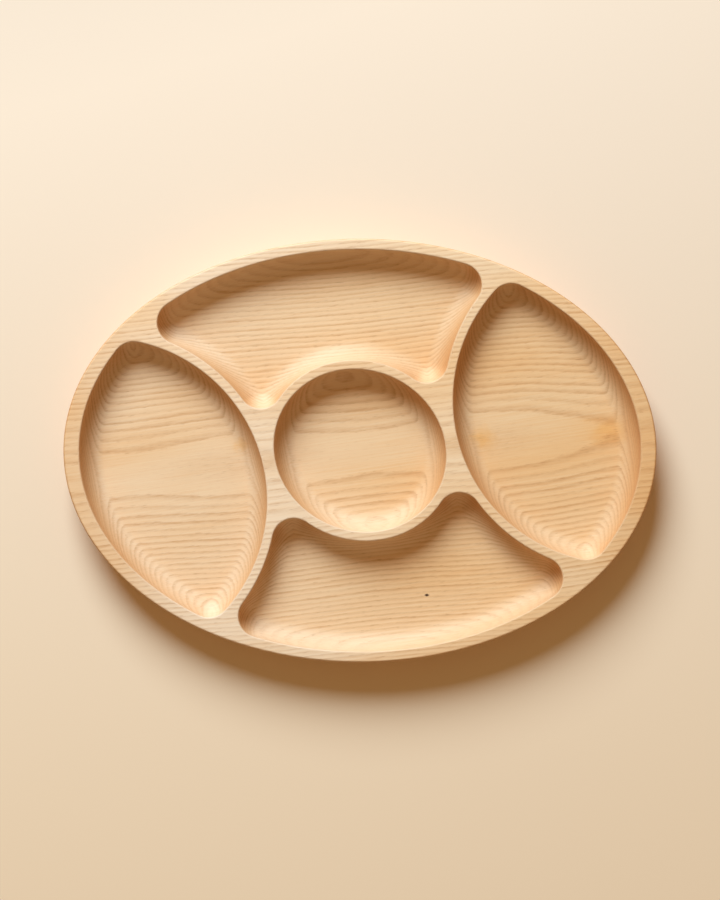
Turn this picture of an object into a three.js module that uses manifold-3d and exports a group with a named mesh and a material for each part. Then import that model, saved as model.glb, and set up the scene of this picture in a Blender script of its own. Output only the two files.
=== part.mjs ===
// Oval wooden serving platter with five routed hollows: a round bowl in the middle, a leaf-shaped
// hollow at each end and a fan-shaped hollow along each side.
// The blank is a panel of staves glued edge to edge, and the hollows are milled into that panel.
// Millimetres, +Z up. The oval's long axis is X, and the flat base rests on Z = 0.

import * as THREE from "three";
import { mergeVertices } from "three/addons/utils/BufferGeometryUtils.js";
import Module from "manifold-3d";

// The oval blank.
const LENGTH = 350;
const WIDTH = 250;
const HEIGHT = 24;
const SIDE_BULGE_RADIUS = 45; // the side is upright at the rim and curves in to the base
const RIM_EDGE_RADIUS = 1.2; // where the side meets the top face
const BASE_EDGE_RADIUS = 2; // where the side meets the base

// The hollows. The rim is widest at the two ends of the oval and narrowest halfway along its sides.
const HOLLOW_DEPTH = 15;
const RIM_AT_ENDS = 9.6;
const RIM_AT_SIDES = 6.5;
const RIDGE = 5.8; // left standing between a fan and each hollow beside it
const NECK = 8.2; // left standing between the bowl and each leaf, where they are nearest
const HOLLOW_EDGE_RADIUS = 0.9; // sanded edge around each hollow
const COVE_RADIUS = 12; // from the wall down to the flat floor
const CUTTER_FLAT = 1.2; // flat left under the round-nosed cutter

// The bowl is a little longer than it is wide, and the whole layout is turned in the oval.
const BOWL_LENGTH = 102.6;
const BOWL_WIDTH = 94;
const BOWL_TURN = THREE.MathUtils.degToRad(-25);
const LEAF_ARC_RADIUS = 95.8; // the inner side of a leaf
const LAYOUT_TURN = THREE.MathUtils.degToRad(11.2); // from X to the leaf at the right

// The panel: its staves run along the grain, and the two edge staves take what is left of the oval.
const GRAIN_TURN = THREE.MathUtils.degToRad(8.3);
const STAVE_WIDTH = 57;
const GLUE_FILM = 0.2;
const GLUE_CLEARANCE = 0.05; // on each side of the film
const STAVE_NAMES = ["front_edge_stave", "front_stave", "middle_stave", "back_stave", "back_edge_stave"];
const GLUE_NAMES = ["front_edge_glue_line", "front_glue_line", "back_glue_line", "back_edge_glue_line"];

// Steps of the faceted solids.
const RIM_STEPS = 96;
const BOWL_STEPS = 48;
const LONG_SIDE_STEPS = 18;
const SHORT_SIDE_STEPS = 8;
const CORNER_STEPS = 5;
const COVE_STEPS = 6;
const EDGE_STEPS = 2;
const BULGE_STEPS = 4;
const HALVINGS = 60; // of an interval, to find where two tracks meet

const CUTTER_RADIUS = COVE_RADIUS + CUTTER_FLAT / 2;
const FLOOR_Z = HEIGHT - HOLLOW_DEPTH;
const BEYOND = LENGTH + WIDTH; // a distance from the centre outside the oval, whichever way the grain runs
const HALF_TURN = Math.PI;
const QUARTER_TURN = Math.PI / 2;
const CENTRE = new THREE.Vector2(0, 0);

const wasm = await Module();
wasm.setup();

// Plan curves

// An ellipse on the plan, or a circle where its half-axes are equal. At an angle it gives a point
// and the direction straight out of the curve there.
function oval(halfLength, halfWidth, turn = 0, centre = CENTRE) {
  return function at(angle) {
    const along = Math.cos(angle - turn);
    const across = Math.sin(angle - turn);
    const point = new THREE.Vector2(halfLength * along, halfWidth * across);
    const out = new THREE.Vector2(along / halfLength, across / halfWidth).normalize();
    return {
      point: point.rotateAround(CENTRE, turn).add(centre),
      out: out.rotateAround(CENTRE, turn),
    };
  };
}

// The track of the cutter's centre along a curve: inside it, or outside it past a ridge.
// Each station holds the cutter's centre and the direction from there to the wall.
function trackInside(curve) {
  return function station(angle) {
    const { point, out } = curve(angle);
    return { centre: point.addScaledVector(out, -CUTTER_RADIUS), toWall: out };
  };
}

function trackOutside(curve, ridge) {
  return function station(angle) {
    const { point, out } = curve(angle);
    return { centre: point.addScaledVector(out, ridge + CUTTER_RADIUS), toWall: out.negate() };
  };
}

// The angle on a track, between two angles, where the cutter's centre is a given distance from a point.
function angleAtDistance(track, target, distance, near, far) {
  const short = (angle) => track(angle).centre.distanceTo(target) < distance;
  for (let i = 0; i < HALVINGS; i++) {
    const middle = (near + far) / 2;
    if (short(middle)) near = middle;
    else far = middle;
  }
  return (near + far) / 2;
}

function stretch(track, from, to, steps) {
  const stations = [];
  for (let i = 0; i <= steps; i++) stations.push(track(THREE.MathUtils.lerp(from, to, i / steps)));
  return stations;
}

// The stations of a closed track: its sides in order, anticlockwise, and a turn of the cutter on the
// spot where one side ends and the next begins.
function closedTrack(sides) {
  const stations = [];
  sides.forEach((side, i) => {
    const last = side[side.length - 1];
    const next = sides[(i + 1) % sides.length][0];
    const turn = wrapped(next.toWall.angle() - last.toWall.angle());
    stations.push(...side);
    for (let k = 1; k < CORNER_STEPS; k++) {
      const toWall = last.toWall.clone().rotateAround(CENTRE, (turn * k) / CORNER_STEPS);
      stations.push({ centre: last.centre, toWall });
    }
  });
  return stations;
}

// An angle brought between minus and plus a half turn.
function wrapped(angle) {
  return THREE.MathUtils.euclideanModulo(angle + HALF_TURN, 2 * HALF_TURN) - HALF_TURN;
}

// Layout of the hollows

const outline = oval(LENGTH / 2, WIDTH / 2);
const rimTrack = trackInside(oval(LENGTH / 2 - RIM_AT_ENDS, WIDTH / 2 - RIM_AT_SIDES));
const bowlCurve = oval(BOWL_LENGTH / 2, BOWL_WIDTH / 2, BOWL_TURN);

// The centre of a leaf's inner arc, past the bowl and the neck between them.
function leafCentre(turn) {
  const bowlEdge = bowlCurve(turn).point.length();
  return new THREE.Vector2(bowlEdge + NECK + LEAF_ARC_RADIUS, 0).rotateAround(CENTRE, turn);
}

function leafCurve(turn) {
  return oval(LEAF_ARC_RADIUS, LEAF_ARC_RADIUS, 0, leafCentre(turn));
}

function bowlStations() {
  return stretch(trackInside(bowlCurve), 0, 2 * HALF_TURN, BOWL_STEPS).slice(0, BOWL_STEPS);
}

// A leaf lies between the rim and its own inner arc, with a tip at each end.
function leafStations(turn) {
  const centre = leafCentre(turn);
  const reach = LEAF_ARC_RADIUS - CUTTER_RADIUS;
  const low = angleAtDistance(rimTrack, centre, reach, turn, turn - QUARTER_TURN);
  const high = angleAtDistance(rimTrack, centre, reach, turn, turn + QUARTER_TURN);
  const arcStart = rimTrack(high).centre.sub(centre).angle();
  const arcEnd = rimTrack(low).centre.sub(centre).angle();
  const sweep = THREE.MathUtils.euclideanModulo(arcEnd - arcStart, 2 * HALF_TURN);
  return closedTrack([
    stretch(rimTrack, low, high, LONG_SIDE_STEPS),
    stretch(trackInside(leafCurve(turn)), arcStart, arcStart + sweep, LONG_SIDE_STEPS),
  ]);
}

// A fan lies between the rim and the bowl, from the leaf at one turn to the leaf a half turn on.
function fanStations(turn) {
  const bowlTrack = trackOutside(bowlCurve, RIDGE);
  const reach = LEAF_ARC_RADIUS + RIDGE + CUTTER_RADIUS;
  const middle = turn + QUARTER_TURN;
  const before = leafCentre(turn);
  const after = leafCentre(turn + HALF_TURN);
  const rimStart = angleAtDistance(rimTrack, before, reach, turn, middle);
  const rimEnd = angleAtDistance(rimTrack, after, reach, turn + HALF_TURN, middle);
  const bowlStart = angleAtDistance(bowlTrack, after, reach, turn + HALF_TURN, middle);
  const bowlEnd = angleAtDistance(bowlTrack, before, reach, turn, middle);

  const ridgeSide = (leafTurn, centre, first, second) => {
    const from = first.centre.sub(centre).angle();
    const to = from + wrapped(second.centre.sub(centre).angle() - from);
    return stretch(trackOutside(leafCurve(leafTurn), RIDGE), from, to, SHORT_SIDE_STEPS);
  };
  return closedTrack([
    stretch(rimTrack, rimStart, rimEnd, LONG_SIDE_STEPS),
    ridgeSide(turn + HALF_TURN, after, rimTrack(rimEnd), bowlTrack(bowlStart)),
    stretch(bowlTrack, bowlStart, bowlEnd, SHORT_SIDE_STEPS),
    ridgeSide(turn, before, bowlTrack(bowlEnd), rimTrack(rimStart)),
  ]);
}

// Solids

// A quarter of a rounded edge or cove as profile points, from one angle to another about a centre.
function arc(inset, z, radius, from, to, steps) {
  const points = [];
  for (let i = 0; i <= steps; i++) {
    const angle = THREE.MathUtils.lerp(from, to, i / steps);
    points.push({ inset: inset + radius * Math.cos(angle), z: z + radius * Math.sin(angle) });
  }
  return points;
}

// A closed solid whose rings follow the stations. The profile runs from the top ring to the bottom
// ring and tells how far each ring lies inside the wall line, which is a reach away from the stations.
function loft(stations, reach, profile) {
  const count = stations.length;
  const positions = [];
  const indices = [];
  for (const { inset, z } of profile)
    for (const { centre, toWall } of stations) {
      const point = centre.clone().addScaledVector(toWall, reach - inset);
      positions.push(point.x, point.y, z);
    }
  for (let ring = 0; ring + 1 < profile.length; ring++)
    for (let i = 0; i < count; i++) {
      const upper = ring * count + i;
      const upperNext = ring * count + ((i + 1) % count);
      indices.push(upper, upper + count, upperNext);
      indices.push(upperNext, upper + count, upperNext + count);
    }
  const bottom = (profile.length - 1) * count;
  const flat = (first) =>
    stations.map((_, i) => new THREE.Vector2(positions[3 * (first + i)], positions[3 * (first + i) + 1]));
  for (const [a, b, c] of THREE.ShapeUtils.triangulateShape(flat(0), [])) indices.push(a, b, c);
  for (const [a, b, c] of THREE.ShapeUtils.triangulateShape(flat(bottom), []))
    indices.push(bottom + c, bottom + b, bottom + a);
  const geometry = new THREE.BufferGeometry();
  geometry.setAttribute("position", new THREE.Float32BufferAttribute(positions, 3));
  geometry.setIndex(indices);
  return geometry;
}

function toSolid(geometry) {
  const bare = new THREE.BufferGeometry();
  bare.setAttribute("position", geometry.getAttribute("position"));
  bare.setIndex(geometry.getIndex());
  const merged = mergeVertices(bare);
  const triVerts = new Uint32Array(merged.getIndex().array);
  const vertProperties = new Float32Array(merged.getAttribute("position").array);
  return new wasm.Manifold(new wasm.Mesh({ numProp: 3, vertProperties, triVerts }));
}

function toGeometry(solid) {
  const { vertProperties, triVerts } = solid.getMesh();
  const geometry = new THREE.BufferGeometry();
  geometry.setAttribute("position", new THREE.BufferAttribute(vertProperties, 3));
  geometry.setIndex(new THREE.BufferAttribute(triVerts, 1));
  const faceted = geometry.toNonIndexed();
  faceted.computeVertexNormals();
  return faceted;
}

// The oval blank, shaped and sanded on the outside before the hollows are cut.
function blankSolid() {
  const stations = stretch((angle) => {
    const { point, out } = outline(angle);
    return { centre: point, toWall: out };
  }, 0, 2 * HALF_TURN, RIM_STEPS).slice(0, RIM_STEPS);
  const shoulder = HEIGHT - RIM_EDGE_RADIUS;
  const bulge = (z) => SIDE_BULGE_RADIUS - Math.sqrt(SIDE_BULGE_RADIUS ** 2 - (shoulder - z) ** 2);
  const foot = bulge(BASE_EDGE_RADIUS) + BASE_EDGE_RADIUS;
  const profile = arc(RIM_EDGE_RADIUS, shoulder, RIM_EDGE_RADIUS, QUARTER_TURN, HALF_TURN, EDGE_STEPS);
  for (let i = 1; i < BULGE_STEPS; i++) {
    const z = THREE.MathUtils.lerp(shoulder, BASE_EDGE_RADIUS, i / BULGE_STEPS);
    profile.push({ inset: bulge(z), z });
  }
  profile.push(...arc(foot, BASE_EDGE_RADIUS, BASE_EDGE_RADIUS, HALF_TURN, 1.5 * HALF_TURN, EDGE_STEPS));
  return toSolid(loft(stations, 0, profile));
}

// What the cutter takes out of one hollow, from above the top face down to the flat floor.
function hollowSolid(stations) {
  const above = HEIGHT + HOLLOW_EDGE_RADIUS;
  const lip = HEIGHT - HOLLOW_EDGE_RADIUS;
  const profile = [
    { inset: -HOLLOW_EDGE_RADIUS, z: above },
    ...arc(-HOLLOW_EDGE_RADIUS, lip, HOLLOW_EDGE_RADIUS, QUARTER_TURN, 0, EDGE_STEPS),
    ...arc(COVE_RADIUS, FLOOR_Z + COVE_RADIUS, COVE_RADIUS, HALF_TURN, 1.5 * HALF_TURN, COVE_STEPS),
  ];
  return toSolid(loft(stations, CUTTER_RADIUS, profile));
}

// A slab between two distances across the grain, longer and taller than the blank.
function slabSolid(from, to) {
  const geometry = new THREE.BoxGeometry(2 * BEYOND, to - from, 4 * HEIGHT);
  geometry.translate(0, (from + to) / 2, 0);
  geometry.rotateZ(GRAIN_TURN);
  return toSolid(geometry);
}

function carvedBlank() {
  const hollows = [
    bowlStations(),
    leafStations(LAYOUT_TURN),
    fanStations(LAYOUT_TURN),
    leafStations(LAYOUT_TURN + HALF_TURN),
    fanStations(LAYOUT_TURN + HALF_TURN),
  ];
  return hollows.reduce((blank, stations) => blank.subtract(hollowSolid(stations)), blankSolid());
}

// Assembly

const ash = new THREE.MeshStandardMaterial({ color: 0xe8c096, roughness: 0.6, metalness: 0 });
const glue = new THREE.MeshStandardMaterial({ color: 0xd8b082, roughness: 0.45, metalness: 0 });

function piece(name, solid, material) {
  const mesh = new THREE.Mesh(toGeometry(solid), material);
  mesh.name = name;
  return mesh;
}

const platter = new THREE.Group();
platter.name = "divided_serving_platter";

const carved = carvedBlank();
const jointCount = STAVE_NAMES.length - 1;
const halfJoint = GLUE_FILM / 2 + GLUE_CLEARANCE;
const jointAt = (i) => (i - (jointCount - 1) / 2) * STAVE_WIDTH;

STAVE_NAMES.forEach((name, i) => {
  const from = i === 0 ? -BEYOND : jointAt(i - 1) + halfJoint;
  const to = i === jointCount ? BEYOND : jointAt(i) - halfJoint;
  platter.add(piece(name, carved.intersect(slabSolid(from, to)), ash));
});

GLUE_NAMES.forEach((name, i) => {
  const film = slabSolid(jointAt(i) - GLUE_FILM / 2, jointAt(i) + GLUE_FILM / 2);
  platter.add(piece(name, carved.intersect(film), glue));
});

export default platter;
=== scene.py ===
# A divided serving platter of pale ash: an oval with a bowl, two leaves and two fans milled into it.
# It lies on a pale table in soft light from one side, and is seen from straight above.

import math

import bmesh
import bpy
from mathutils import Matrix, Vector


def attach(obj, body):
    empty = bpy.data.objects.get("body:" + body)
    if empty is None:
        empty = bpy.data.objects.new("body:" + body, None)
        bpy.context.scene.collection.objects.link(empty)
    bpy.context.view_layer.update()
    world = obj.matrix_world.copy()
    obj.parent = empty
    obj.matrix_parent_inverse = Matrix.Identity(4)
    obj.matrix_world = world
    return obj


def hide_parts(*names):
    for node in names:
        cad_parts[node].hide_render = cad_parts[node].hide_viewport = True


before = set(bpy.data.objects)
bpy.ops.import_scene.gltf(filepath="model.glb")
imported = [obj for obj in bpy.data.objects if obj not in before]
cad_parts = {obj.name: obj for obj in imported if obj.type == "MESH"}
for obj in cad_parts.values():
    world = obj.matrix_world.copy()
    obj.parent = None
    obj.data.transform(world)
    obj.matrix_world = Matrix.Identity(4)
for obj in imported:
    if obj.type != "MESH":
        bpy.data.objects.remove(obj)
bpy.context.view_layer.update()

# The staves. Ash boards are glued edge to edge into a panel, which is sawn to an oval and turned in
# towards its base. A round-nosed cutter then mills the hollows, and every edge is sanded round.
# The panel is shaped whole here, and then parted along the grain into its staves.
LENGTH = 0.350
WIDTH = 0.250
HEIGHT = 0.024
SIDE_ROUND = 0.045
SIDE_BAND = 0.0005
RIM_EDGE = 0.0012
BASE_EDGE = 0.002
RIM_AT_ENDS = 0.0096
RIM_AT_SIDES = 0.0065
HOLLOW_DEPTH = 0.015
LIP = 0.0009
COVE = 0.012
CUTTER = 0.0126
RIDGE = 0.0058
NECK = 0.0082
BOWL_LENGTH = 0.1026
BOWL_WIDTH = 0.094
BOWL_TURN = math.radians(-25)
LEAF_ARC = 0.0958
LAYOUT_TURN = math.radians(11.2)

# The plan of the hollows, each drawn at the outer line of its lip and of a flat margin round it
FLAT_MARGIN = 0.0003
DRAWN = LIP + FLAT_MARGIN
RIM_HALVES = (LENGTH / 2 - RIM_AT_ENDS, WIDTH / 2 - RIM_AT_SIDES)
BOWL_HALVES = (BOWL_LENGTH / 2, BOWL_WIDTH / 2)
CENTRE = Vector((0, 0, 0))
FULL_TURN = 2 * math.pi
HALF_TURN = math.pi
QUARTER_TURN = math.pi / 2


def plan_turn(angle):
    """The matrix that turns the plan by an angle."""
    return Matrix.Rotation(angle, 3, "Z")


def on_oval(halves, angle, turn=0.0):
    """A point on an oval about the centre, and the direction straight out of the oval there."""
    along = math.cos(angle - turn)
    across = math.sin(angle - turn)
    point = plan_turn(turn) @ Vector((halves[0] * along, halves[1] * across, 0))
    out = plan_turn(turn) @ Vector((along / halves[0], across / halves[1], 0)).normalized()
    return point, out


def along_rim(angle):
    """The cutter's centre as it runs inside the rim, and the direction from it to the wall."""
    point, out = on_oval(RIM_HALVES, angle)
    return point - out * CUTTER, out


def along_bowl(angle):
    """The cutter's centre as it runs outside the bowl past the ridge, and the direction to the wall."""
    point, out = on_oval(BOWL_HALVES, angle, BOWL_TURN)
    return point + out * (RIDGE + CUTTER), -out


def leaf_centre(turn):
    """The centre of a leaf's inner arc, past the bowl and the neck between them."""
    edge = on_oval(BOWL_HALVES, turn, BOWL_TURN)[0].length
    return plan_turn(turn) @ Vector((edge + NECK + LEAF_ARC, 0, 0))


HALVINGS = 50


def meeting_angle(track, target, distance, near, far):
    """The angle between two others at which the cutter on a track comes a distance away from a point."""
    for _ in range(HALVINGS):
        middle = (near + far) / 2
        if (track(middle)[0] - target).length < distance:
            near = middle
        else:
            far = middle
    return middle


def anticlockwise(start, end):
    """The turn on the plan from one direction to another, between minus and plus a half turn."""
    return math.atan2(start.cross(end).z, start.dot(end))


def draw_arc(plan, centre, start, turn, steps):
    """The curve that a point draws on the plan as it spins about a centre, closed after a full turn."""
    known = set(plan.verts)
    first = plan.verts.new(start)
    closed = turn == FULL_TURN
    bmesh.ops.spin(
        plan, geom=[first], cent=centre, axis=(0, 0, 1), angle=turn, steps=steps, use_merge=closed
    )
    return [vert for vert in plan.verts if vert not in known]


def draw_oval(plan, halves, grow, start, end, steps, turn=0.0):
    """A stretch of an oval about the centre, drawn a little outside it or inside it."""
    unit = Vector((math.cos(start - turn), math.sin(start - turn), 0))
    curve = draw_arc(plan, CENTRE, unit, end - start, steps)
    bmesh.ops.scale(plan, vec=(halves[0] + grow, halves[1] + grow, 1), verts=curve)
    bmesh.ops.rotate(plan, cent=CENTRE, matrix=plan_turn(turn), verts=curve)


def draw_side(plan, centre, radius, start, end, steps):
    """A stretch of wall about a centre, between the directions of two points from it."""
    arm = (start - centre).normalized()
    draw_arc(plan, centre, centre + arm * radius, anticlockwise(arm, end - centre), steps)


CORNER_STEPS = 14


def draw_corner(plan, centre, arriving, leaving):
    """The round corner that the cutter leaves where it turns from one wall to the next."""
    start = centre + arriving * (CUTTER + DRAWN)
    draw_arc(plan, centre, start, anticlockwise(arriving, leaving), CORNER_STEPS)


BOWL_STEPS = 160


def draw_bowl(plan):
    """The bowl, a little longer than it is wide."""
    draw_oval(plan, BOWL_HALVES, DRAWN, 0, FULL_TURN, BOWL_STEPS, BOWL_TURN)


LEAF_STEPS = 80


def draw_leaf(plan):
    """The leaf at the right, between the rim and its own inner arc, with a tip at each end."""
    centre = leaf_centre(LAYOUT_TURN)
    reach = LEAF_ARC - CUTTER
    low = meeting_angle(along_rim, centre, reach, LAYOUT_TURN, LAYOUT_TURN - QUARTER_TURN)
    high = meeting_angle(along_rim, centre, reach, LAYOUT_TURN, LAYOUT_TURN + QUARTER_TURN)
    low_tip, low_out = along_rim(low)
    high_tip, high_out = along_rim(high)
    draw_oval(plan, RIM_HALVES, DRAWN, low, high, LEAF_STEPS)
    draw_corner(plan, high_tip, high_out, (high_tip - centre).normalized())
    draw_side(plan, centre, LEAF_ARC + DRAWN, high_tip, low_tip, LEAF_STEPS)
    draw_corner(plan, low_tip, (low_tip - centre).normalized(), low_out)


FAN_RIM_STEPS = 90
FAN_BOWL_STEPS = 40
FAN_RIDGE_STEPS = 36


def draw_fan(plan):
    """The fan at the back, between the rim and the bowl, from the right leaf to the left one."""
    right = leaf_centre(LAYOUT_TURN)
    left = leaf_centre(LAYOUT_TURN + HALF_TURN)
    reach = LEAF_ARC + RIDGE + CUTTER
    middle = LAYOUT_TURN + QUARTER_TURN
    rim_start = meeting_angle(along_rim, right, reach, LAYOUT_TURN, middle)
    rim_end = meeting_angle(along_rim, left, reach, LAYOUT_TURN + HALF_TURN, middle)
    bowl_start = meeting_angle(along_bowl, left, reach, LAYOUT_TURN + HALF_TURN, middle)
    bowl_end = meeting_angle(along_bowl, right, reach, LAYOUT_TURN, middle)
    corners = [along_rim(rim_end), along_bowl(bowl_start), along_bowl(bowl_end), along_rim(rim_start)]
    ridge_arc = LEAF_ARC + RIDGE - DRAWN
    draw_oval(plan, RIM_HALVES, DRAWN, rim_start, rim_end, FAN_RIM_STEPS)
    draw_side(plan, left, ridge_arc, corners[0][0], corners[1][0], FAN_RIDGE_STEPS)
    draw_oval(plan, BOWL_HALVES, RIDGE - DRAWN, bowl_start, bowl_end, FAN_BOWL_STEPS, BOWL_TURN)
    draw_side(plan, right, ridge_arc, corners[2][0], corners[3][0], FAN_RIDGE_STEPS)
    for (tip, wall), leaf in zip(corners, (left, left, right, right)):
        ridge = (leaf - tip).normalized()
        first, second = (wall, ridge) if anticlockwise(wall, ridge) > 0 else (ridge, wall)
        draw_corner(plan, tip, first, second)


# The panel, which starts as five lids for the hollows and a thin slab where the side is widest
JOINING = 0.0003
OVAL_STEPS = 360
LIP_STEPS = 4
COVE_STEPS = 14
EDGE_STEPS = 5
SIDE_STEPS = 10


def quarter_round(radius, steps):
    """How far in and how far along a quarter-round has come at each step, from upright to flat."""
    angles = [QUARTER_TURN * step / steps for step in range(1, steps + 1)]
    return [(radius * (1 - math.cos(angle)), radius * math.sin(angle)) for angle in angles]


def side_round():
    """How far in and how far down the panel's side has come, from its widest band to the base's edge."""
    drop = HEIGHT - RIM_EDGE - BASE_EDGE
    downs = [drop * step / SIDE_STEPS for step in range(1, SIDE_STEPS + 1)]
    return [(SIDE_ROUND - math.sqrt(SIDE_ROUND**2 - down**2), down - SIDE_BAND) for down in downs]


def shape_lid(panel, lid, way, *bends):
    """Takes a flat lid through bends, one after another, and leaves a band of wall behind at each step.
    The way is 1 where the lid moves out along its normal and -1 where it sinks."""
    for bend in bends:
        before = (0, 0)
        for inward, along in bend:
            thickness = inward - before[0]
            depth = way * (along - before[1])
            bmesh.ops.inset_region(
                panel, faces=[lid], use_boundary=True, use_even_offset=True, thickness=thickness, depth=depth
            )
            before = (inward, along)


def many_sided(faces):
    """The faces with more than four corners."""
    return [face for face in faces if len(face.verts) > 4]


panel = bmesh.new()
drawn = bpy.data.meshes.new("drawn_hollow")
for draw, places in ((draw_bowl, 1), (draw_leaf, 2), (draw_fan, 2)):
    plan = bmesh.new()
    draw(plan)
    bmesh.ops.remove_doubles(plan, verts=plan.verts, dist=JOINING)
    lid = bmesh.ops.contextual_create(plan, geom=plan.edges[:])["faces"][0]
    if lid.normal.z < 0:
        bmesh.ops.reverse_faces(plan, faces=[lid])
    bmesh.ops.translate(plan, vec=(0, 0, HEIGHT), verts=plan.verts)
    for _ in range(places):
        plan.to_mesh(drawn)
        panel.from_mesh(drawn)
        bmesh.ops.rotate(plan, cent=CENTRE, matrix=plan_turn(HALF_TURN), verts=plan.verts)
    plan.free()
bpy.data.meshes.remove(drawn)

margin = [(FLAT_MARGIN, 0)]
lip_round = [(inward, along) for along, inward in quarter_round(LIP, LIP_STEPS)]
wall = [(0, HOLLOW_DEPTH - LIP - COVE)]
for lid in panel.faces[:]:
    shape_lid(panel, lid, -1, margin, lip_round, wall, quarter_round(COVE, COVE_STEPS), margin)

slab = bmesh.ops.create_cone(
    panel, cap_ends=True, segments=OVAL_STEPS, radius1=1, radius2=1, depth=SIDE_BAND
)["verts"]
bmesh.ops.scale(panel, vec=(LENGTH / 2, WIDTH / 2, 1), verts=slab)
bmesh.ops.translate(panel, vec=(0, 0, HEIGHT - RIM_EDGE - SIDE_BAND / 2), verts=slab)
panel.normal_update()
caps = many_sided({face for vert in slab for face in vert.link_faces})
base, top = sorted(caps, key=lambda cap: cap.normal.z)
shape_lid(panel, top, 1, quarter_round(RIM_EDGE, EDGE_STEPS), margin)
shape_lid(panel, base, 1, side_round(), quarter_round(BASE_EDGE, EDGE_STEPS), margin)
bmesh.ops.delete(panel, geom=[top], context="FACES_ONLY")
rims = [edge for edge in panel.edges if edge.is_boundary]
bmesh.ops.triangle_fill(panel, use_beauty=True, edges=rims)
bmesh.ops.triangulate(panel, faces=many_sided(panel.faces))
bmesh.ops.recalc_face_normals(panel, faces=panel.faces)
for face in panel.faces:
    face.smooth = True

# The cuts along the grain, which part the panel into its staves
STAVES = ("front_edge_stave", "front_stave", "middle_stave", "back_stave", "back_edge_stave")
STAVE_WIDTH = 0.057
GLUE_FILM = 0.0002
SAW_REACH = 2e-6
SLIVER = 2e-5
GRAIN_TURN = math.radians(8.3)
ALONG_GRAIN = plan_turn(GRAIN_TURN) @ Vector((1, 0, 0))
ACROSS_GRAIN = plan_turn(GRAIN_TURN) @ Vector((0, 1, 0))
joints = [STAVE_WIDTH * (joint - len(STAVES) / 2) for joint in range(1, len(STAVES))]


def part_panel(low, high):
    """A copy of the panel between two lines along the grain, closed flat where it is cut."""
    piece = panel.copy()
    for line, way in ((low, -1), (high, 1)):
        geometry = piece.verts[:] + piece.edges[:] + piece.faces[:]
        place = ACROSS_GRAIN * line
        away = ACROSS_GRAIN * way
        bmesh.ops.bisect_plane(
            piece, geom=geometry, dist=SAW_REACH, plane_co=place, plane_no=away, clear_outer=True
        )
        bmesh.ops.dissolve_degenerate(piece, dist=SLIVER, edges=piece.edges[:])
        edges = [edge for edge in piece.edges if edge.is_boundary]
        if edges:
            bmesh.ops.triangle_fill(piece, use_beauty=True, edges=edges)
        for edge in edges:
            edge.smooth = False
    bmesh.ops.recalc_face_normals(piece, faces=piece.faces)
    return piece


def finished_mesh(shape, name, material):
    """The mesh of a finished shape, in its material."""
    mesh = bpy.data.meshes.new(name)
    shape.to_mesh(mesh)
    shape.free()
    mesh.materials.append(material)
    return mesh


def put_in_scene(name, data):
    """An object that shows a mesh, a lamp or a lens in the scene."""
    placed = bpy.data.objects.new(name, data)
    bpy.context.scene.collection.objects.link(placed)
    return placed


def place_piece(piece, name, node, material):
    """Makes a shaped piece an object, which stands for its CAD node."""
    placed = put_in_scene(name, finished_mesh(piece, name, material))
    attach(placed, "root")
    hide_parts(node)


# The tools for a finish: colours, shader nodes, sums on them, noise and masks


def srgb(red, green, blue):
    """A colour as it is seen on a screen, from 0 to 255, made the linear colour that a shader takes.
    The numbers are those of the standard curve of screens."""
    parts = [value / 255 for value in (red, green, blue)]
    linear = [part / 12.92 if part <= 0.04045 else ((part + 0.055) / 1.055) ** 2.4 for part in parts]
    return (*linear, 1)


def feed(tree, node, inputs):
    """Sets a node's inputs to values, or links them to what other nodes put out."""
    for name, value in inputs.items():
        if isinstance(value, bpy.types.NodeSocket):
            tree.links.new(value, node.inputs[name])
        else:
            node.inputs[name].default_value = value


def add_node(tree, kind, inputs=None, **settings):
    """Adds a shader node with its settings, and feeds its inputs."""
    node = tree.nodes.new(kind)
    for name, value in settings.items():
        setattr(node, name, value)
    feed(tree, node, inputs or {})
    return node


def reckon(tree, operation, *values):
    """A sum on one or more numbers of the surface."""
    return add_node(tree, "ShaderNodeMath", dict(enumerate(values)), operation=operation).outputs[0]


def reckon_vector(tree, operation, *values):
    """A sum on one or more places or directions, which gives another one or a number."""
    node = add_node(tree, "ShaderNodeVectorMath", dict(enumerate(values)), operation=operation)
    gives_number = operation in ("LENGTH", "DISTANCE", "DOT_PRODUCT")
    return node.outputs["Value" if gives_number else "Vector"]


def stretched_noise(tree, place, sizes, detail=2.0):
    """Noise about the middle, from -1 to 1, whose blots have a size in millimetres along each axis."""
    spread = reckon_vector(tree, "MULTIPLY", place, tuple(1 / size for size in sizes))
    noise = add_node(tree, "ShaderNodeTexNoise", {"Vector": spread, "Scale": 1.0, "Detail": detail})
    return reckon(tree, "MULTIPLY_ADD", noise.outputs["Fac"], 2.0, -1.0)


def ramp(tree, value, low, high):
    """A mask that rises smoothly from 0 to 1 between two values."""
    inputs = {"Value": value, "From Min": low, "From Max": high, "To Min": 0.0, "To Max": 1.0}
    return add_node(tree, "ShaderNodeMapRange", inputs, interpolation_type="SMOOTHSTEP").outputs["Result"]


def mixed(tree, mask, first, second, blend="MIX"):
    """One colour laid over another through a mask.
    The node has its colours in sockets 6 and 7, and puts out the mixed colour in socket 2."""
    inputs = {0: mask, 6: first, 7: second}
    return add_node(tree, "ShaderNodeMix", inputs, data_type="RGBA", blend_type=blend).outputs[2]


RAGGED_SHARE = 0.6
RAGGED_DEPTH = 0.5


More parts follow.
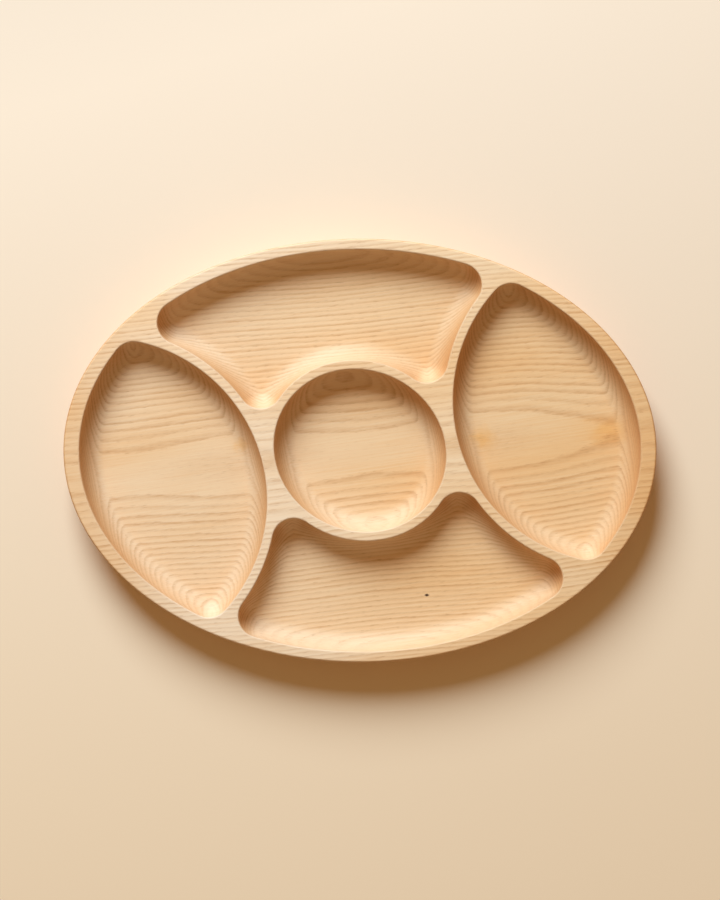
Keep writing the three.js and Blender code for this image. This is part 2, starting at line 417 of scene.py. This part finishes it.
def blot(tree, place, centre, sizes, core):
    """A mask that is 1 at a place in the wood and falls raggedly to 0 at a distance along each axis.
    The core is the share of that distance over which it stays at 1."""
    away = reckon_vector(tree, "SUBTRACT", place, centre)
    away = reckon_vector(tree, "LENGTH", reckon_vector(tree, "DIVIDE", away, sizes))
    ragged = stretched_noise(tree, place, tuple(size * RAGGED_SHARE for size in sizes))
    return ramp(tree, reckon(tree, "MULTIPLY_ADD", ragged, RAGGED_DEPTH, away), 1.0, core)


# The growth rings. Places and sizes in the wood are in millimetres along the grain, across it and up
HEART_HEIGHT = 49.0
HEART_OFFSET = 1.5
HEART_SLANT = 0.055
SWELL_LENGTH = 147
SWELL_PLACE = 77
SWELL_RISE = 0.8
RIGHT_END = (100, 168)
RIGHT_END_SHIFT = 2.2
RING_WANDER = (((70, 22, 22), 0.9), ((16, 4, 4), 0.35), ((5, 1.6, 1.6), 0.25))


def ring_radius(tree, place):
    """How far a place in the wood is from the heart line, which runs above the panel and wanders."""
    along, across, up = add_node(tree, "ShaderNodeSeparateXYZ", {0: place}).outputs
    beside = reckon(tree, "ADD", reckon(tree, "MULTIPLY_ADD", along, HEART_SLANT, HEART_OFFSET), across)
    below = reckon(tree, "SUBTRACT", HEART_HEIGHT, up)
    squares = reckon(tree, "MULTIPLY_ADD", beside, beside, reckon(tree, "MULTIPLY", below, below))
    radius = reckon(tree, "SQRT", squares)
    pace = FULL_TURN / SWELL_LENGTH
    swell = reckon(tree, "COSINE", reckon(tree, "MULTIPLY_ADD", along, pace, -pace * SWELL_PLACE))
    radius = reckon(tree, "MULTIPLY_ADD", swell, -SWELL_RISE, radius)
    radius = reckon(tree, "MULTIPLY_ADD", ramp(tree, along, *RIGHT_END), RIGHT_END_SHIFT, radius)
    for sizes, amount in RING_WANDER:
        radius = reckon(tree, "MULTIPLY_ADD", stretched_noise(tree, place, sizes), amount, radius)
    return radius


YEAR = 2.62
BROAD_YEAR_START = 37.0
BROAD_YEAR_END = 42.6
BROAD_YEAR_LEAD = 1.14


def growth_years(tree, radius):
    """How many years lie between one broad year, where the floors come nearest to the heart, and a ring."""
    broad = {
        "Value": radius,
        "From Min": BROAD_YEAR_START,
        "From Max": BROAD_YEAR_END,
        "To Min": BROAD_YEAR_LEAD,
        "To Max": 0.0,
    }
    lead = add_node(tree, "ShaderNodeMapRange", broad).outputs["Result"]
    since = reckon(tree, "DIVIDE", reckon(tree, "SUBTRACT", radius, BROAD_YEAR_END), YEAR)
    return reckon(tree, "ADD", since, lead)


LINE_ONSET = (0.0, 0.2)
LINE_FADE = (0.75, 0.15)
FAINTEST_YEAR = 0.4
BREAK_SIZES = (11, 1.3, 1.3)
BREAK_DEPTH = 0.9
BREAK_LEVEL = 0.8


def porous_lines(tree, place, years):
    """The porous line at the start of each year, broken up along the grain, and how each year fades."""
    season = reckon(tree, "FRACT", years)
    year = reckon(tree, "FLOOR", years)
    vigour = add_node(tree, "ShaderNodeTexWhiteNoise", {"W": year}, noise_dimensions="1D").outputs["Value"]
    vigour = reckon(tree, "MULTIPLY_ADD", vigour, 1 - FAINTEST_YEAR, FAINTEST_YEAR)
    breaks = stretched_noise(tree, place, BREAK_SIZES)
    breaks = reckon(tree, "MULTIPLY_ADD", breaks, BREAK_DEPTH, BREAK_LEVEL)
    fade = ramp(tree, season, *LINE_FADE)
    line = reckon(tree, "MULTIPLY", ramp(tree, season, *LINE_ONSET), fade)
    line = reckon(tree, "MULTIPLY", reckon(tree, "MULTIPLY", line, vigour), breaks)
    return reckon(tree, "MINIMUM", reckon(tree, "MAXIMUM", line, 0.0), 1.0), fade


# The walls, on which the lines lean, fainter across the grain, and painted fainter where they face the lamp
# and stronger in shade
OUTER_MARGIN = 0.005
ANY_HEIGHT = 10
HOLLOWS_REACH = (LENGTH / 2 - OUTER_MARGIN, WIDTH / 2 - OUTER_MARGIN, ANY_HEIGHT)
LAMP_DIRECTION_ON_PLAN = (-0.3, 0.95, 0)
LINE_STRENGTH = 0.66
LESS_ON_WALLS = 0.06
LESS_WHERE_LAMP_LIT = 0.3
LESS_ON_CROSSING = 0.6
MORE_ON_END_GRAIN = 0.25


def inside_rim(tree, spot):
    """A mask that is 1 over the hollows, and 0 along the platter's edge and on its side."""
    away = reckon_vector(tree, "LENGTH", reckon_vector(tree, "DIVIDE", spot, HOLLOWS_REACH))
    return reckon(tree, "LESS_THAN", away, 1.0)


def steepness(tree, normal):
    """How steep the surface is, from 0 where it lies flat to 1 where it stands upright."""
    rise = add_node(tree, "ShaderNodeSeparateXYZ", {0: normal}).outputs["Z"]
    return reckon(tree, "SQRT", reckon(tree, "SUBTRACT", 1.0, reckon(tree, "MULTIPLY", rise, rise)))


def line_strength(tree, normal, inside, hollow_wall, end_grain):
    """How strongly the lines show: less on the hollows' walls, more on end grain, and painted fainter where
    walls face the lamp.
    """
    # Painted highlight and shade: the lines fade on walls lit by the lamp and grow stronger on walls in
    # shade
    facing_lamp = reckon(tree, "MULTIPLY", reckon_vector(tree, "DOT_PRODUCT", normal, LAMP_DIRECTION_ON_PLAN), inside)
    crossing = reckon_vector(tree, "DOT_PRODUCT", normal, ACROSS_GRAIN)
    crossing = reckon(tree, "MULTIPLY", reckon(tree, "MULTIPLY", crossing, crossing), inside)
    strength = reckon(tree, "MULTIPLY_ADD", hollow_wall, -LESS_ON_WALLS, LINE_STRENGTH)
    strength = reckon(tree, "MULTIPLY_ADD", facing_lamp, -LESS_WHERE_LAMP_LIT, strength)
    kept = reckon(tree, "MULTIPLY_ADD", crossing, -LESS_ON_CROSSING, 1.0)
    strength = reckon(tree, "MULTIPLY", strength, kept)
    return reckon(tree, "MULTIPLY_ADD", end_grain, MORE_ON_END_GRAIN, strength)


# The pores, which are most open in the early wood of each year, and hardly show on end grain
PORE_SIZES = (5, 0.45, 0.45)
PORE_EDGE = (0.12, 0.5)
PORES_IN_LATE_WOOD = 0.25
PORES_LOST_IN_END_GRAIN = 0.7


def open_pores(tree, place, fade, end_grain):
    """A mask that is 1 in the pores, which are short and thin, and lie along the grain."""
    pores = ramp(tree, stretched_noise(tree, place, PORE_SIZES, detail=1.0), *PORE_EDGE)
    early = reckon(tree, "MULTIPLY_ADD", fade, 1 - PORES_IN_LATE_WOOD, PORES_IN_LATE_WOOD)
    kept = reckon(tree, "MULTIPLY_ADD", end_grain, -PORES_LOST_IN_END_GRAIN, 1.0)
    return reckon(tree, "MULTIPLY", reckon(tree, "MULTIPLY", pores, early), kept)


# The tints that change from place to place in the panel, with the amber stains
DRIFT_SIZES = (160, 40, 40)
DRIFT_EDGE = (-0.2, 0.6)
DRIFT_TAN = srgb(252, 240, 222)
LEFT_TO_RIGHT = (-120, 150)
RIGHT_TAN = srgb(251, 245, 232)
RIM_ENDS = (110, 175)
RIM_END_TAN = srgb(244, 228, 206)
RIM_HEIGHT = 23.9
MILLED_HEIGHT = 23.2
BELOW_RIM_TAN = srgb(248, 240, 227)
AMBER_STAINS = (
    ((73, -3.6, 9), (12, 10, 14), 0.75),
    ((148, -9, 9), (24, 11, 14), 0.75),
    ((-69, 13.6, 10), (8, 7, 8), 0.7),
)
STAIN_AMBER = srgb(254, 232, 186)


def panel_tints(tree, place):
    """The masks and colours of what tints the wood: slow drift, the right side, the rim's ends,
    everything below the rim's face, and the stains."""
    along, _, up = add_node(tree, "ShaderNodeSeparateXYZ", {0: place}).outputs
    drift = stretched_noise(tree, place, DRIFT_SIZES, detail=1.0)
    far_along = ramp(tree, reckon(tree, "ABSOLUTE", along), *RIM_ENDS)
    rim_ends = reckon(tree, "MULTIPLY", ramp(tree, up, MILLED_HEIGHT, RIM_HEIGHT), far_along)
    tints = [
        (ramp(tree, drift, *DRIFT_EDGE), DRIFT_TAN),
        (ramp(tree, along, *LEFT_TO_RIGHT), RIGHT_TAN),
        (rim_ends, RIM_END_TAN),
        # Everything below the rim's face is a little darker than the face
        (ramp(tree, up, RIM_HEIGHT, MILLED_HEIGHT), BELOW_RIM_TAN),
    ]
    for centre, sizes, amount in AMBER_STAINS:
        stain = reckon(tree, "MULTIPLY", blot(tree, place, centre, sizes, 0.0), amount)
        tints.append((stain, STAIN_AMBER))
    return tints


# The ash itself, with its pores, fibres, tints and pin knot laid over the lines, and painted highlight and
# shade on its walls
MILLIMETRES = 1000
END_GRAIN = (0.1, 0.95)
END_GRAIN_TAN = srgb(236, 214, 186)
WALL_LEAN = 11.0
WALL_WASHOUT_SHARE = 0.32
WALL_WASHOUT_GREY = srgb(211, 188, 169)
COVE_SHADING = 2.0
COVE_SHADE_TINT = srgb(244, 247, 252)
OUTER_WALL_SHADE = srgb(230, 220, 206)
PORE_STRENGTH = 0.35
PORE_BROWN = srgb(176, 124, 78)
FIBRE_SIZES = (40, 1.0, 1.0)
FIBRE_STRENGTH = 0.4
FIBRE_LEVEL = 0.28
FIBRE_TAN = srgb(244, 216, 180)
PIN_KNOT = ((27.0, -91.1, 9), (1.7, 1.0, 3), 0.4)
KNOT_BROWN = srgb(52, 24, 10)
SANDED_ROUGHNESS = 0.54
ROUGHER_LINES = 0.1
ROUGHER_END_GRAIN = 0.1
LINE_DEPTH = 0.4
PORE_DEPTH = 0.6
FIBRE_HEIGHT = 0.3


def ash_grain():
    """Growth rings about a heart line above the panel, with pores, fibres and darker end grain.
    The colours that it puts out change over the wood, with painted highlight and shade on the walls, and so
    do its roughness and its height."""
    tree = bpy.data.node_groups.new("ash_grain", "ShaderNodeTree")
    for name in ("Pale Wood", "Ring Lines"):
        tree.interface.new_socket(name, in_out="INPUT", socket_type="NodeSocketColor")
    tree.interface.new_socket("Colour", in_out="OUTPUT", socket_type="NodeSocketColor")
    for name in ("Roughness", "Height"):
        tree.interface.new_socket(name, in_out="OUTPUT", socket_type="NodeSocketFloat")
    given = add_node(tree, "NodeGroupInput").outputs

    # Where the surface lies in the wood, and which way it faces
    surface = add_node(tree, "ShaderNodeTexCoord").outputs
    spot, normal = surface["Object"], surface["Normal"]
    turned = {"Vector": spot, "Rotation": (0, 0, -GRAIN_TURN), "Scale": (MILLIMETRES,) * 3}
    place = add_node(tree, "ShaderNodeMapping", turned).outputs["Vector"]
    facing = reckon(tree, "ABSOLUTE", reckon_vector(tree, "DOT_PRODUCT", normal, ALONG_GRAIN))
    end_grain = ramp(tree, facing, *END_GRAIN)
    inside = inside_rim(tree, spot)
    steep = steepness(tree, normal)
    hollow_wall = reckon(tree, "MULTIPLY", steep, inside)
    outer_wall = reckon(tree, "SUBTRACT", steep, hollow_wall)

    # The marks that the wood shows there
    lean = reckon(tree, "MULTIPLY", hollow_wall, facing)
    radius = reckon(tree, "MULTIPLY_ADD", lean, -WALL_LEAN, ring_radius(tree, place))
    line, fade = porous_lines(tree, place, growth_years(tree, radius))
    strength = line_strength(tree, normal, inside, hollow_wall, end_grain)
    pores = open_pores(tree, place, fade, end_grain)
    fibres = stretched_noise(tree, place, FIBRE_SIZES, detail=3.0)

    # Its colour, laid on in layers
    ring_lines = reckon(tree, "MULTIPLY", line, strength)
    colour = mixed(tree, ring_lines, given["Pale Wood"], given["Ring Lines"])
    colour = mixed(tree, reckon(tree, "MULTIPLY", pores, PORE_STRENGTH), colour, PORE_BROWN)
    fibrous = reckon(tree, "MULTIPLY_ADD", fibres, FIBRE_STRENGTH, FIBRE_LEVEL)
    for mask, tint in [(fibrous, FIBRE_TAN), *panel_tints(tree, place)]:
        colour = mixed(tree, mask, colour, tint, "MULTIPLY")
    colour = mixed(tree, blot(tree, place, *PIN_KNOT), colour, KNOT_BROWN)
    # Painted highlight: the walls of the hollows are greyed, so that lit walls take on the pale, washed-out
    # look of strong light
    colour = mixed(tree, reckon(tree, "MULTIPLY", hollow_wall, WALL_WASHOUT_SHARE), colour, WALL_WASHOUT_GREY)
    # Painted shade on the coves: they are dimmed and cooled a little, which tones down the lamp's highlights
    # there
    cove_shade = reckon(tree, "MULTIPLY", hollow_wall, reckon(tree, "SUBTRACT", 1.0, hollow_wall))
    cove_shade = reckon(tree, "MULTIPLY", cove_shade, COVE_SHADING)
    # Painted shade on the platter's outer side, which also bounces less warm light onto the table; the end
    # grain is darker in the wood itself
    for mask, tint in ((cove_shade, COVE_SHADE_TINT), (end_grain, END_GRAIN_TAN), (outer_wall, OUTER_WALL_SHADE)):
        colour = mixed(tree, mask, colour, tint, "MULTIPLY")

    # Its roughness and its height
    rough = reckon(tree, "MULTIPLY_ADD", line, ROUGHER_LINES, SANDED_ROUGHNESS)
    rough = reckon(tree, "MULTIPLY_ADD", end_grain, ROUGHER_END_GRAIN, rough)
    height = reckon(tree, "MULTIPLY", line, -LINE_DEPTH)
    height = reckon(tree, "MULTIPLY_ADD", pores, -PORE_DEPTH, height)
    height = reckon(tree, "MULTIPLY_ADD", fibres, FIBRE_HEIGHT, height)
    add_node(tree, "NodeGroupOutput", {"Colour": colour, "Roughness": rough, "Height": height})
    return tree


grain = ash_grain()
WOOD_GLOSS = 0.3
RELIEF_STRENGTH = 0.35
RELIEF_DEPTH = 0.0001


def grained(name, pale, lines):
    """A material that shows the grain in its own two colours, with a faint relief."""
    material = bpy.data.materials.new(name)
    material.use_nodes = True
    tree = material.node_tree
    colours = {"Pale Wood": pale, "Ring Lines": lines}
    wood = add_node(tree, "ShaderNodeGroup", colours, node_tree=grain).outputs
    relief = {"Height": wood["Height"], "Strength": RELIEF_STRENGTH, "Distance": RELIEF_DEPTH}
    finish = {
        "Base Color": wood["Colour"],
        "Roughness": wood["Roughness"],
        "Specular IOR Level": WOOD_GLOSS,
        "Normal": add_node(tree, "ShaderNodeBump", relief).outputs["Normal"],
    }
    feed(tree, tree.nodes["Principled BSDF"], finish)
    return material


ASH_PALE = srgb(253, 231, 206)
ASH_LINES = srgb(212, 169, 125)
ash_wood = grained("ash_wood", ASH_PALE, ASH_LINES)
stave_lines = [-LENGTH, *joints, LENGTH]
for name, low, high in zip(STAVES, stave_lines, stave_lines[1:]):
    stave = part_panel(low + GLUE_FILM / 2, high - GLUE_FILM / 2)
    place_piece(stave, name + "_carved", name, ash_wood)

# The glue lines. A film of wood glue fills each joint between two staves, and is milled and sanded
# flush with them. It dries clear and a little darker, so that the joints hardly show.
GLUE_LINES = ("front_edge_glue_line", "front_glue_line", "back_glue_line", "back_edge_glue_line")
GLUED_PALE = srgb(247, 222, 194)
GLUED_LINES = srgb(205, 161, 117)
wood_glue = grained("wood_glue", GLUED_PALE, GLUED_LINES)
for name, joint in zip(GLUE_LINES, joints):
    film = part_panel(joint - GLUE_FILM / 2, joint + GLUE_FILM / 2)
    place_piece(film, name + "_flush", name, wood_glue)
panel.free()

# The table is one wide sheet, painted a matte peach, and it holds the platter's shadow. Its front is painted
# warmer, as warm bounce light, and beyond the picture painted shade darkens it towards the foot of the lamp,
# against the lamp's pool of light, and it goes over into the backdrop.
TABLE_SPAN = 5.0
LAMP_DISTANCE = 2.5
LAMP_PLACE = Vector((-0.245, 0.776, 0.581)).normalized() * LAMP_DISTANCE
PICTURE_EDGE = 0.92
TONING_POWER = 3.0
SWEEP = (0.36, 0.95)
FRONT_TO_BACK = (-0.3, 0.3)
FRONT_BOUNCE_PEACH = srgb(250, 225, 195)
BACK_PEACH = srgb(244, 225, 206)
BLACK = (0, 0, 0, 1)
BACKDROP = srgb(250, 236, 216)
MATTE_ROUGHNESS = 0.85
MATTE_GLOSS = 0.0


def seen_rays(tree):
    """A mask that is 1 for what the eye, a gloss or a glass sees, and 0 for light that fills shadows."""
    rays = add_node(tree, "ShaderNodeLightPath").outputs
    seen = reckon(tree, "MAXIMUM", rays["Is Camera Ray"], rays["Is Glossy Ray"])
    return reckon(tree, "MAXIMUM", seen, rays["Is Transmission Ray"])


def table_paint():
    """Matte paint, painted warmer at the front as warm bounce light, darkened near the lamp as painted shade
    against its pool of light, and swept into the backdrop.
    """
    material = bpy.data.materials.new("table_paint")
    material.use_nodes = True
    tree = material.node_tree
    spot = add_node(tree, "ShaderNodeTexCoord").outputs["Object"]
    # Painted shade: the paint darkens towards the lamp, against the pool of light it throws near its foot
    away = reckon_vector(tree, "DISTANCE", spot, LAMP_PLACE)
    away = reckon(tree, "DIVIDE", away, LAMP_DISTANCE * PICTURE_EDGE)
    lamp_pool_offset = reckon(tree, "MINIMUM", reckon(tree, "POWER", away, TONING_POWER), 1.0)
    # Painted light: the front of the table is warmer, as warm light bounced from the room
    depth = add_node(tree, "ShaderNodeSeparateXYZ", {0: spot}).outputs["Y"]
    peach = mixed(tree, ramp(tree, depth, *FRONT_TO_BACK), FRONT_BOUNCE_PEACH, BACK_PEACH)
    peach = mixed(tree, lamp_pool_offset, BLACK, peach)
    coat = tree.nodes["Principled BSDF"]
    feed(tree, coat, {"Base Color": peach, "Roughness": MATTE_ROUGHNESS, "Specular IOR Level": MATTE_GLOSS})
    sweep = ramp(tree, reckon_vector(tree, "LENGTH", spot), *SWEEP)
    sweep = reckon(tree, "MULTIPLY", sweep, seen_rays(tree))
    pale = add_node(tree, "ShaderNodeEmission", {"Color": BACKDROP})
    both = add_node(tree, "ShaderNodeMixShader", {0: sweep, 1: coat.outputs[0], 2: pale.outputs[0]})
    feed(tree, tree.nodes["Material Output"], {"Surface": both.outputs[0]})
    return material


sheet = bmesh.new()
bmesh.ops.create_grid(sheet, x_segments=1, y_segments=1, size=TABLE_SPAN / 2)
table = put_in_scene("table", finished_mesh(sheet, "table", table_paint()))

# One soft lamp, a ball of cloth almost a metre and a half wide, hangs behind the platter and a little
# to its left. The room's warm walls fill the shadows, and are seen as a plain pale backdrop.
LAMP_WIDTH = 1.44
LAMP_POWER = 368
LAMP_COLOUR = (0.78, 0.92, 1.0)
ROOM_FILL = (0.292, 0.183, 0.081, 1)

lamp_data = bpy.data.lights.new("lamp", "POINT")
lamp_data.shadow_soft_size = LAMP_WIDTH / 2
lamp_data.energy = LAMP_POWER
lamp_data.color = LAMP_COLOUR
lamp = put_in_scene("lamp", lamp_data)
lamp.location = LAMP_PLACE

room = bpy.data.worlds.new("room")
room.use_nodes = True
room_tree = room.node_tree
backdrop = mixed(room_tree, seen_rays(room_tree), ROOM_FILL, BACKDROP)
feed(room_tree, room_tree.nodes["Background"], {"Color": backdrop})
bpy.context.scene.world = room

# The camera hangs straight above the platter and looks down. Its lens frames a stretch of table that
# is about twice as tall as the platter, measured at the height of the rim.
CAMERA_ABOVE_RIM = 1.3
CAMERA_BACK = 0.0003
FRAME_HEIGHT = 0.5306
SENSOR_HEIGHT = 24

lens = bpy.data.cameras.new("overhead")
lens.sensor_fit = "VERTICAL"
lens.sensor_height = SENSOR_HEIGHT
lens.lens = SENSOR_HEIGHT * CAMERA_ABOVE_RIM / FRAME_HEIGHT
camera = put_in_scene("overhead", lens)
camera.location = (0, CAMERA_BACK, HEIGHT + CAMERA_ABOVE_RIM)
bpy.context.scene.camera = camera
bpy.context.scene.view_settings.view_transform = "Standard"
